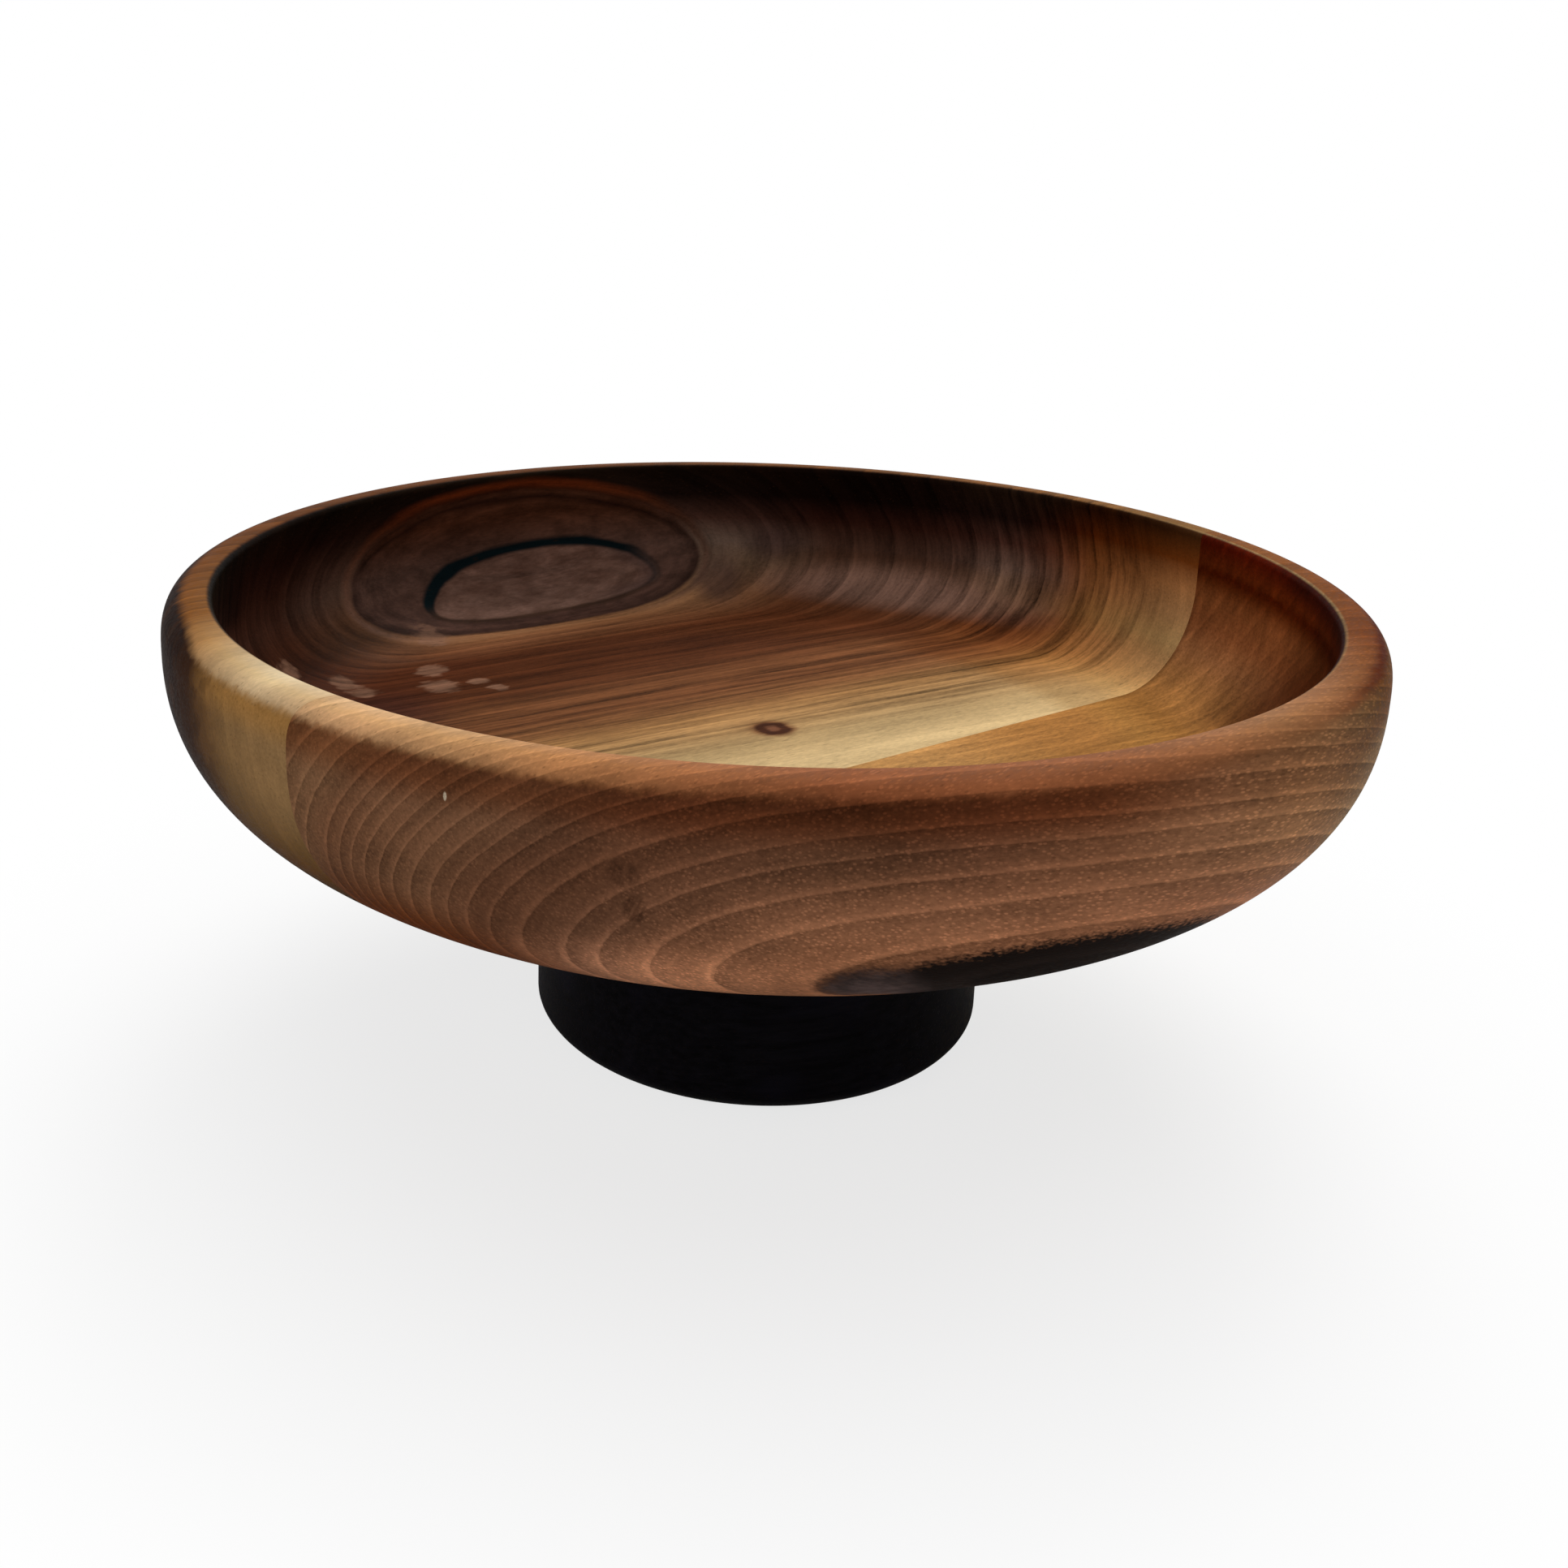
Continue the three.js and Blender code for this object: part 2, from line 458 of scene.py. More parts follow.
# The front board's inside: golden brown, paler beside the sapwood
GOLDEN = (0.37, 0.160, 0.042)
PALE_GOLDEN = (0.45, 0.225, 0.075)
# Painted shade at the top of the front board's wall, at the right
UPPER_EDGE_PAINTED_SHADE = (0.012, 0.003, 0.002)

TAN_STRIPE = (0.18, 0.075, 0.028)
STRIPE_EDGE = (0.12, 0.045, 0.017)
DARK_BROWN = (0.072, 0.020, 0.0065)
RED_BROWN = (0.100, 0.031, 0.011)
STREAK_BROWN = (0.170, 0.062, 0.023)
ORANGE_BROWN = (0.245, 0.102, 0.037)
TAN = (0.35, 0.175, 0.062)
PALE_TAN = (0.43, 0.245, 0.098)
CREAM = (0.55, 0.365, 0.165)
PALE_CREAM = (0.73, 0.515, 0.25)

BACK_COLOURS = (
    (60, TAN_STRIPE),
    (69, TAN_STRIPE),
    (79, STRIPE_EDGE),
    (91, DARK_BROWN),
    (112, DARK_BROWN),
    (124, RED_BROWN),
    (135, STREAK_BROWN),
    (148, STREAK_BROWN),
    (157, ORANGE_BROWN),
    (166, TAN),
    (178, PALE_TAN),
    (190, CREAM),
    (205, PALE_CREAM),
    (240, PALE_CREAM),
)

# Painted light and shade up the inside: shares of those colours by millimetres along it from the axis,
# which lighten the cove and darken the wall to nearly black under the rim; in the middle the bluish
# shares are a painted sheen
RIGHT_WALL_LIGHT_AND_SHADE = (
    (84, (1.0, 1.0, 1.0)),
    (92, (0.94, 0.85, 0.74)),
    (104, (1.14, 1.0, 0.86)),
    (112, (1.45, 1.25, 1.0)),
    (120, (1.4, 1.1, 0.85)),
    (128, (1.2, 0.95, 0.8)),
    (136, (1.0, 0.92, 0.8)),
    (144, (0.83, 0.68, 0.62)),
    (152, (0.62, 0.44, 0.36)),
    (160, (0.24, 0.10, 0.04)),
    (168, (0.07, 0.035, 0.02)),
)
MIDDLE_WALL_LIGHT_AND_SHADE = (
    (84, (1.0, 1.0, 1.0)),
    (96, (1.25, 1.3, 1.35)),
    (104, (1.6, 1.65, 1.8)),
    (112, (1.8, 1.85, 2.0)),
    (120, (2.2, 2.5, 2.9)),
    (128, (2.3, 2.8, 3.4)),
    (136, (1.6, 2.4, 3.6)),
    (144, (1.10, 1.8, 3.5)),
    (152, (0.50, 0.56, 1.05)),
    (160, (0.10, 0.12, 0.23)),
    (168, (0.10, 0.13, 0.18)),
)
LEFT_WALL_LIGHT_AND_SHADE = (
    (84, (1.0, 1.0, 1.0)),
    (104, (1.05, 1.0, 1.1)),
    (112, (1.25, 1.2, 1.3)),
    (120, (1.3, 1.35, 1.6)),
    (128, (0.6, 0.65, 0.8)),
    (136, (0.72, 0.8, 1.1)),
    (144, (0.66, 0.90, 1.6)),
    (152, (0.52, 0.62, 1.1)),
    (160, (0.20, 0.20, 0.3)),
    (168, (0.09, 0.13, 0.16)),
)
FRONT_WALL_LIGHT_AND_SHADE = (
    (88, (1.0, 1.0, 0.95)),
    (100, (1.0, 1.05, 0.95)),
    (112, (1.1, 1.1, 1.0)),
    (120, (1.35, 1.35, 1.35)),
    (128, (1.2, 1.2, 1.4)),
    (136, (1.2, 1.15, 1.6)),
    (144, (0.92, 0.74, 0.95)),
    (152, (0.80, 0.63, 0.75)),
    (160, (0.42, 0.20, 0.14)),
    (168, (0.30, 0.06, 0.04)),
)

# Painted light and shade on the cream wood at the right of the back wall, by millimetres up the inside
CREAM_WALL_LIGHT_AND_SHADE = (
    (96, (0.85, 0.87, 0.9)),
    (132, (0.85, 0.82, 0.8)),
    (152, (1.3, 1.3, 1.3)),
)

# Colour of the rim's crest, by degrees round from the right: painted light where it falls on the rim's top,
# strongest at the front left
FRONT_CREST_LIGHT = (
    (225, (0.88, 0.62, 0.36)),
    (237, (0.76, 0.47, 0.25)),
    (246, (0.74, 0.43, 0.21)),
    (255, (0.62, 0.30, 0.13)),
    (265, (0.43, 0.175, 0.075)),
    (275, (0.37, 0.13, 0.055)),
    (295, (0.37, 0.14, 0.060)),
    (315, (0.38, 0.18, 0.080)),
    (325, (0.36, 0.16, 0.070)),
    (335, (0.27, 0.10, 0.034)),
    (345, (0.20, 0.055, 0.010)),
    (390, (0.22, 0.08, 0.018)),
)
BACK_CREST_LIGHT = (
    (20, (0.25, 0.12, 0.03)),
    (60, (0.20, 0.08, 0.02)),
    (120, (0.12, 0.04, 0.012)),
    (165, (0.13, 0.042, 0.010)),
    (185, (0.17, 0.060, 0.014)),
    (205, (0.23, 0.090, 0.020)),
    (213, (0.48, 0.27, 0.11)),
    (219, (0.66, 0.47, 0.26)),
    (226, (0.88, 0.70, 0.44)),
    (232, (0.88, 0.64, 0.38)),
)
# Shares of the crest's painted light, by millimetres on from its top and down the rim's outside
CREST_LIGHT_FADE = (
    (0, (1.0, 1.0, 1.0)),
    (4, (1.0, 0.92, 0.78)),
    (7, (0.94, 0.84, 0.74)),
    (10, (0.90, 0.79, 0.70)),
    (13, (0.70, 0.54, 0.40)),
)
# Colour of the back board's outside at the left, by degrees round, and shares of it by height, which paint
# shade lower down
OUTER_LEFT = (
    (198, (0.012, 0.004, 0.002)),
    (210, (0.016, 0.004, 0.001)),
    (215, (0.045, 0.015, 0.004)),
    (219, (0.15, 0.070, 0.022)),
    (223, (0.27, 0.148, 0.055)),
    (232, (0.39, 0.222, 0.090)),
)
LEFT_SHADE = (
    (78, (0.20, 0.16, 0.12)),
    (84, (0.39, 0.28, 0.16)),
    (90, (0.54, 0.48, 0.36)),
    (98, (0.73, 0.72, 0.70)),
    (106, (1.0, 1.0, 1.0)),
)
# Shares of the front board's colour, by degrees round from the right
FRONT_ROUND = (
    (230, (0.72, 0.71, 0.70)),
    (242, (0.99, 1.07, 1.14)),
    (255, (0.81, 0.90, 1.00)),
    (265, (0.87, 0.90, 0.95)),
    (275, (0.66, 0.68, 0.70)),
    (285, (0.83, 0.81, 0.82)),
    (295, (1.06, 1.05, 1.00)),
    (305, (1.72, 1.90, 1.85)),
    (315, (2.1, 2.45, 2.25)),
    (322, (1.90, 2.35, 2.2)),
    (330, (1.80, 2.60, 2.5)),
    (345, (1.75, 2.85, 2.9)),
)

# Shares that darken a colour in one place. Those for the front board's inside at the right, its outside at
# the right below and above, and the back wall's far left are painted shade; the back wall's shadow is painted
INSIDE_RIGHT_PAINTED_SHADE = (0.28, 0.21, 0.19)
OUTSIDE_RIGHT_BELOW_SHADE = (0.68, 0.75, 0.62)
OUTSIDE_RIGHT_ABOVE_SHADE = (0.50, 0.28, 0.12)
OUTSIDE_UPPER_BAND = (0.80, 0.60, 0.48)
OUTSIDE_BACK = (0.9, 0.8, 0.7)
WALL_SHADOW_SHARES = (0.76, 0.72, 0.70)
WALL_FAR_LEFT_SHADE = (0.35, 0.40, 0.45)

LEFT_PALE_BAND = (0.45, 0.22, 0.06)
LEFT_BLOTCH = (0.035, 0.012, 0.004)
PORE_DARK = (0.05, 0.02, 0.008)
PORE_DEPTH = 0.00006
PORE_STRENGTH = 0.45
WOOD_GLOSS = 0.008

# Logs: their azimuth and tilt, the pith's place sideways and in height, and the fibres' azimuth
FRONT_LOG = (33.6, -6.6, -181.1, 12.3, 47.0)
BACK_LOG = (38.3, 2.4, 181.8, 62.8, 38.3)

# Swelling of the back log's rings at the eye: centre and reach along the log and in height, and how far it
# pushes them
SWELL_ALONG = (6.6, 35.5)
SWELL_HEIGHT = (94.4, 7.7)
SWELL_PUSH = 11.7
RING_SLANT = 0.056  # of the back rings against the log's axis, growing away from the pith


def log_axes(azimuth, tilt):
    """Unit vectors along a log, level across it, and square to both."""
    along = Vector((math.cos(azimuth) * math.cos(tilt), math.sin(azimuth) * math.cos(tilt), math.sin(tilt)))
    across = Vector((-math.sin(azimuth), math.cos(azimuth), 0.0))
    upward = along.cross(across)
    return along, across, upward


class Log:
    """Where a point lies in the log: along it, sideways and upwards from the pith, and along the fibres."""

    def __init__(self, shader, azimuth, tilt, pith_across, pith_height, fibre_azimuth):
        along, across, upward = log_axes(math.radians(azimuth), math.radians(tilt))
        fibre, fibre_across, fibre_upward = log_axes(math.radians(fibre_azimuth), math.radians(tilt))
        self.shader = shader
        self.place = shader.place()
        self.along = shader.dot(self.place, along)
        self.side = shader.dot(self.place, across) - pith_across
        self.up = shader.dot(self.place, upward) - pith_height * upward.z
        self.height = shader.dot(self.place, (0.0, 0.0, 1.0))
        self.fibre = shader.dot(self.place, fibre)
        self.fibre_across = shader.dot(self.place, fibre_across)
        self.fibre_upward = shader.dot(self.place, fibre_upward)

    def radius(self):
        """Distance from the pith, swaying a little as rings do."""
        across = self.side * self.side
        distance = self.shader.math("SQRT", across + self.up * self.up)
        sway = self.shader.noise(self.fibre_point(40.0, 60.0), detail=1.0)
        jitter = self.shader.noise(self.fibre_point(3.0, 12.0), detail=2.0)
        return distance + (sway - 0.5) * 2.0 + (jitter - 0.5) * 0.4

    def fibre_point(self, across_scale, along_scale):
        """A point for noise that is drawn out along the fibres."""
        return self.shader.point(
            self.fibre_across * (1 / across_scale),
            self.fibre_upward * (1 / across_scale),
            self.fibre * (1 / along_scale),
        )


def ring_light(shader, log, radius, rings, pale, late, band):
    """How much lighter or darker the growth rings make the wood: each ring starts with a pale line."""
    phase = shader.math("FRACT", shader.steps(radius, rings))
    line = shader.ramp(phase, 0.28, 0.05, 0.0, 1.0)
    edge = shader.ramp(phase, 0.0, 0.06, 0.0, 1.0)
    broken = shader.ramp(shader.noise(log.fibre_point(1.6, 4.0), detail=2.0), 0.35, 0.62, 0.35, 1.0)
    soft = shader.ramp(phase, 0.7, 0.0, -band, band)
    dark = shader.math("POWER", phase, 3.0)
    return line * edge * broken * pale + soft - dark * late


def finish_walnut(shader, log, radius, colour, rings, pore_share, streak_share, mottle_share):
    """Adds what all the walnut has: rings, streaks, mottle, pores and the dull gloss of its oiled surface."""
    streak_point = shader.point(radius * (1 / 2.4), log.up * (1 / 22.0), log.fibre * (1 / 60.0))
    streak = shader.swing(shader.noise(streak_point, detail=4.0, roughness=0.7), 0.13)
    cloud = shader.swing(shader.noise(log.fibre_point(14.0, 50.0), detail=2.0), 0.15)
    mottle = shader.swing(shader.noise(log.fibre_point(0.8, 2.2), detail=3.0, roughness=0.6), 0.15)
    pore = shader.ramp(shader.cells(log.fibre_point(0.7, 2.4)), 0.44, 0.2, 0.0, 1.0)
    crowd = shader.ramp(shader.noise(log.fibre_point(2.4, 10.0), detail=1.0), 0.35, 0.55, 0.5, 1.0)
    fine = mottle * mottle_share + pore * crowd * pore_share
    colour = shader.scaled(colour, rings + 1.0 + cloud * 0.12 + fine + streak * streak_share)
    dark_cells = shader.cells(log.fibre_point(1.3, 9.0))
    dark_pore = shader.ramp(dark_cells, 0.22, 0.08, 0.0, 0.3)
    colour = shader.mix(dark_pore, colour, PORE_DARK)

    height = mottle * 0.3 - dark_pore - pore * 0.5
    normal = shader.bump(height, PORE_DEPTH, PORE_STRENGTH)
    roughness = shader.ramp(mottle, -1.0, 1.0, 0.42, 0.55)
    return shader.surface(colour, roughness, normal, WOOD_GLOSS)


# Places on the bowl, in millimetres

INNER = (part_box("bowl_back_board")[1].y - WALL_THICKNESS) * MILLIMETRES
RIM_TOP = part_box("bowl_back_board")[1].z * MILLIMETRES
FLOOR = RIM_TOP - BOWL_DEPTH * MILLIMETRES
COVE = COVE_RADIUS * MILLIMETRES
LIP = LIP_RADIUS * MILLIMETRES
WALL_DEGREE = INNER * math.radians(1.0)  # length of one degree round the wall

# Soft spots on the front board: centre, radii and softness, and where there are two more values their
# strength and colour
HEART_GREY_SPOT = ((20.0, -112.0, 74.0), (17.0, 40.0, 30.0), 0.6)
# Painted light low on the front, where light from the floor falls on it
BOUNCE_LIGHT_SPOT = ((259.0, 76.0, 0.0), (15.0, 17.0, 1.0), 0.9)  # by degrees round and height
ORANGE_PATCH = ((-67.0, -114.0, 71.0), (41.0, 42.0, 25.0), 0.7), 0.95, (0.155, 0.034, 0.004)
CHIP = ((-57.6, -137.8, 114.0), (0.45, 2.0, 1.1), 0.4), 1.0, (0.75, 0.6, 0.42)
SMUDGE_SPOTS = (
    ((-24.0, -146.0, 104.5), (4.0, 8.0, 3.5), 0.5),
    ((-22.0, -145.0, 97.5), (3.0, 8.0, 4.0), 0.5),
)
SMUDGE_COLOUR = (0.07, 0.028, 0.014)

# The same on the back board. Those on the wall, a painted shadow, a painted sheen where the cove catches
# light and two dark wedges, go by degrees round and millimetres up the inside
FLOOR_LEFT = ((-106.0, -4.0, FLOOR + 5.0), (34.0, 32.0, 30.0), 0.8), 0.8, (0.050, 0.016, 0.011)
WALL_SHADOW = ((66.0, 103.0, 0.0), (11.0, 15.0, 1.0), 0.8)
WALL_MARKS = (
    # A painted sheen where the cove catches light
    (((71.0, 130.5, 0.0), (29.0, 12.0, 1.0), 0.8), 0.85, (0.34, 0.19, 0.135)),
    (((98.0, 131.0, 0.0), (5.5, 15.0, 1.0), 0.7), 0.75, (0.085, 0.045, 0.037)),
    (((90.0, 144.0, 0.0), (5.0, 9.0, 1.0), 0.8), 0.6, (0.060, 0.030, 0.026)),
)
PIN_KNOT = (2.0, 3.0, 0.0)
PIN_KNOT_TAIL = ((0.0, 3.0, FLOOR), (13.0, 9.0, 20.0), 0.8), 0.3, (0.24, 0.095, 0.036)
# Rings of the pin knot: the radii from and to which each one fades in, its strength and its colour
PIN_KNOT_RINGS = (
    (7.5, 4.2, 0.85, (0.20, 0.075, 0.028)),
    (5.6, 3.8, 0.95, (0.05, 0.014, 0.006)),
    (2.6, 1.0, 0.8, (0.22, 0.085, 0.042)),
)


def from_axis(shader, place):
    """Distance of a point from the bowl's upright axis."""
    flat = shader.vector_math("MULTIPLY", place, (1.0, 1.0, 0.0))
    return shader.vector_math("LENGTH", flat, output="Value")


def round_the_bowl(shader, place, side):
    """Degrees round the axis from +X, unbroken over the back for side 1 and over the front for side -1."""
    x = shader.dot(place, (-side, 0.0, 0.0))
    y = shader.dot(place, (0.0, side, 0.0))
    return shader.math("ARCTAN2", x, y) * math.degrees(1.0) + (180.0 - 90.0 * side)


def up_the_inside(shader, log):
    """Millimetres along the inside from the axis, over the floor and up the cove and the wall."""
    reach = from_axis(shader, log.place)
    across = shader.math("MAXIMUM", reach - (INNER - COVE), 0.0)
    above = log.height - (FLOOR + COVE)
    turn = shader.math("ARCTAN2", across, shader.math("MAXIMUM", -above, 0.0))
    return shader.math("MINIMUM", reach, INNER - COVE) + turn * COVE + shader.math("MAXIMUM", above, 0.0)


def inside_share(shader, log):
    """1 on the bowl's inside and 0 on its outside."""
    reach = from_axis(shader, log.place)
    beyond = shader.math("MAXIMUM", reach - (INNER - 8.0), 0.0)
    over = shader.ramp(log.height - beyond * 0.6, FLOOR - 2.0, FLOOR - 0.5)
    return over * shader.ramp(reach, INNER + 1.6, INNER + 0.6)


def add_crest(shader, log, colour, around, crest_colours, thinner):
    """The wood with painted light on the rim's top, the way on over the rim, and the crest's share."""
    reach = from_axis(shader, log.place)
    edge = shader.noise(log.fibre_point(2.0, 8.0), detail=2.0)
    way = reach - log.height + (RIM_TOP - INNER - LIP) + (edge - 0.5) * 3.0
    crest = shader.ramp(way + thinner, 13.0, 8.8) * shader.ramp(reach, INNER + 0.6, INNER + 1.8)
    pale = shader.times(shader.colours(around, crest_colours), shader.tint(way, CREST_LIGHT_FADE))
    return shader.mix(crest, colour, pale), way, crest


def from_glue_line(shader, place):
    """Millimetres from the joint between the boards, into the front one."""
    across = (math.sin(GLUE_LINE_ANGLE), -math.cos(GLUE_LINE_ANGLE), 0.0)
    return shader.dot(place, across) - GLUE_LINE_OFFSET * MILLIMETRES


def front_inside(shader, log, around):
    """Golden brown, with lines beside the joint, painted light and shade up the wall and painted shade to the
    right.
    """
    up = up_the_inside(shader, log)
    golden = shader.mix(shader.ramp(log.along, 60.0, 10.0), GOLDEN, PALE_GOLDEN)
    # Painted light and shade up the wall
    golden = shader.times(golden, shader.tint(up, FRONT_WALL_LIGHT_AND_SHADE))
    away = from_glue_line(shader, log.place)
    line_point = shader.point(away * (1 / 3.0), log.height * (1 / 70.0), log.fibre * (1 / 70.0))
    lines = shader.swing(shader.noise(line_point, detail=3.0), 0.14) * 0.16
    joint_edge = shader.ramp(away, 4.0, 0.8) * shader.ramp(up, 100.0, 118.0) * 0.3
    beside = shader.ramp(away, 24.0, 12.0) * shader.ramp(up, 112.0, 96.0) * 0.25
    golden = shader.scaled(golden, lines + 1.0 - joint_edge + beside)
    # Painted shade: darker to the right and up the wall, and nearly black under the rim at the right
    turned = around + shader.math("MAXIMUM", up - 136.0, 0.0) * 0.55
    shade = shader.ramp(turned, 379.0, 362.0) * shader.ramp(up, 112.0, 128.0)
    golden = shader.mix(shade, golden, INSIDE_RIGHT_PAINTED_SHADE, "MULTIPLY")
    edge_shade = shader.ramp(up, 162.0, 168.0) * shader.ramp(around, 374.0, 364.0)
    return shader.mix(edge_shade * 0.7, golden, UPPER_EDGE_PAINTED_SHADE)


def front_outside(shader, log, around, heart_radius):
    """Black heartwood low down, partly grey, and above it red brown wood with an orange patch, with painted
    light from the floor low down at the front and painted shade low down at the right.
    """
    colour = shader.colours(heart_radius, FRONT_COLOURS)
    grey = shader.spot(log.place, *HEART_GREY_SPOT)
    grey_strokes = shader.ramp(shader.noise(log.fibre_point(2.5, 6.0), detail=2.0), 0.35, 0.65, 0.55, 1.0)
    heart = shader.ramp(heart_radius, 84.0, 82.5, 0.0, 1.0)
    colour = shader.mix(grey * heart * grey_strokes, colour, HEART_GREY)
    not_heart = shader.ramp(heart_radius, 86.0, 104.0, 0.0, 1.0)
    colour = shader.mix(not_heart, colour, shader.times(colour, shader.tint(around, FRONT_ROUND)))
    # Painted light from the floor, low on the front
    bounce_light_below = shader.spot(shader.point(around, log.height, 0.0), *BOUNCE_LIGHT_SPOT)
    colour = shader.scaled(colour, bounce_light_below * 1.6 + 1.0)
    # Painted shade low down at the right
    right_below_shade = shader.ramp(log.height, 96.0, 88.0) * shader.ramp(around, 296.0, 306.0) * not_heart
    colour = shader.mix(right_below_shade, colour, OUTSIDE_RIGHT_BELOW_SHADE, "MULTIPLY")
    colour = shader.mark(log.place, colour, *ORANGE_PATCH)
    band = shader.ramp(log.height, 110.0, 117.5, 0.0, 1.0) * shader.ramp(around, 308.0, 290.0)
    return shader.mix(band, colour, OUTSIDE_UPPER_BAND, "MULTIPLY")


def add_front_marks(shader, log, colour):
    """A dark smudge of fine upright strokes, and a small pale chip."""
    upper, lower = SMUDGE_SPOTS
    smudge = shader.math("MAXIMUM", shader.spot(log.place, *upper), shader.spot(log.place, *lower))
    strokes = shader.noise(shader.point(log.along * 2.0, log.side * 0.5, log.height * 0.4), detail=2.0)
    smudge = smudge * shader.ramp(strokes, 0.35, 0.6, 0.4, 1.0) * 0.65
    colour = shader.mix(smudge, colour, SMUDGE_COLOUR)
    return shader.mark(log.place, colour, *CHIP)


def front_walnut():
    shader = Shader("walnut_front")
    log = Log(shader, *FRONT_LOG)
    radius = log.radius()
    around = round_the_bowl(shader, log.place, -1)
    inside = inside_share(shader, log)
    ragged = shader.swing(shader.noise(log.fibre_point(0.8, 1.6), detail=2.0), 0.2)
    flatter = shader.ramp(around, 276.0, 281.5, -1.0, 0.8)
    heart_radius = radius + flatter + ragged * shader.ramp(log.along, -70.0, -45.0, 0.3, 0.8)

    colour = front_outside(shader, log, around, heart_radius)
    colour = add_front_marks(shader, log, colour)
    colour = shader.mix(inside, colour, front_inside(shader, log, around))
    colour, way, crest = add_crest(shader, log, colour, around, FRONT_CREST_LIGHT, 0.0)
    # Painted shade under the crest at the right, towards the bowl's outline
    under_crest = shader.ramp(way, 5.0, 9.0) * shader.ramp(log.height, 106.0, 114.0)
    right_top_shade = under_crest * shader.ramp(around, 318.0, 336.0)
    colour = shader.mix(right_top_shade, colour, OUTSIDE_RIGHT_ABOVE_SHADE, "MULTIPLY")

    rings = ring_light(shader, log, radius, FRONT_RINGS, pale=0.40, late=0.18, band=0.07)
    rings = rings * (inside * -0.6 + 1.0) * (crest * -0.5 + 1.0)
    pores = shader.ramp(log.along, -150.0, -70.0, 0.25, 0.6) * (inside * -0.9 + 1.0)
    pores = pores * shader.ramp(heart_radius, 82.0, 86.0, 0.1, 1.0) * (crest * -0.5 + 1.0)
    mottles = crest * -0.08 + 0.16
    return finish_walnut(shader, log, radius, colour, rings, pores, streak_share=0.10, mottle_share=mottles)


# Blots of paler finish on the left of the floor: x, y and their radii
PALE_BLOTS = (
    (-96.5, 39.7, 5.2, 5.6),
    (-90.9, 25.5, 5.6, 5.4),
    (-81.4, 32.2, 3.6, 2.7),
    (-74.8, 27.0, 3.2, 2.7),
    (-116.5, 20.5, 4.5, 3.8),
    (-110.5, 17.0, 4.5, 3.8),
    (-101.5, 64.6, 5.4, 5.4),
    (-129.0, 9.5, 2.5, 4.5),
)
BLOT_COLOUR = (0.26, 0.132, 0.080)

EYE_DARK = (0.145, 0.073, 0.050)
EYE_PALE = (0.235, 0.128, 0.092)
EYE_RING_LOW = (0.085, 0.040, 0.028)
EYE_RING = (0.11, 0.058, 0.042)
EYE_RING_HIGH = (0.10, 0.036, 0.018)
EYE_LINE_LOW = (0.035, 0.016, 0.008)
EYE_LINE_HIGH = (0.004, 0.010, 0.012)
EYE_SHADOW = (0.075, 0.044, 0.040)
EYE_DARK_RING = (0.030, 0.014, 0.010)
EYE_DARK_RING_HIGH = (0.010, 0.004, 0.003)
EYE_THIRD_RING = (0.13, 0.065, 0.042)
# Colour of the paler line round the eye, by millimetres up the inside, darker higher up with painted shade
EYE_EDGE = (
    (114, (0.27, 0.125, 0.055)),
    (130, (0.17, 0.090, 0.062)),
    (150, (0.13, 0.056, 0.032)),
    (158, (0.13, 0.036, 0.014)),
    (166, (0.22, 0.040, 0.008)),
)
# The eye's oval lines: centre in degrees round and millimetres up, radii across, above and below, and lean
EYE_INNER = ((125.3, 131.5), (44.6, 15.0, 10.8), 0.04)
EYE_OUTER = ((128.1, 139.0), (66.5, 25.3, 25.8), 0.0)


def from_oval(shader, around, up, centre, radii, lean):
    """Millimetres from an oval line on the wall, less than 0 inside it. Radii: across, above and below."""
    across = (around - centre[0]) * WALL_DEGREE
    rise = up - centre[1] + across * lean
    across_share = across * (1 / radii[0])
    per_millimetre = shader.ramp(rise, -0.5, 0.5, 1 / radii[2], 1 / radii[1])
    rise_share = rise * per_millimetre
    size = shader.vector_math("LENGTH", shader.point(across_share, rise_share, 0.0), output="Value")
    slope = shader.point(across_share * (1 / radii[0]), rise_share * per_millimetre, 0.0)
    steepness = shader.vector_math("LENGTH", slope, output="Value")
    return shader.math("DIVIDE", (size - 1.0) * size, steepness)


def line_share(shader, distance, half_width, soft):
    """1 on a line, falling to 0 over a soft stretch on both sides."""
    away = shader.math("ABSOLUTE", distance)
    return shader.ramp(away - half_width, soft, -soft, 0.0, 1.0)


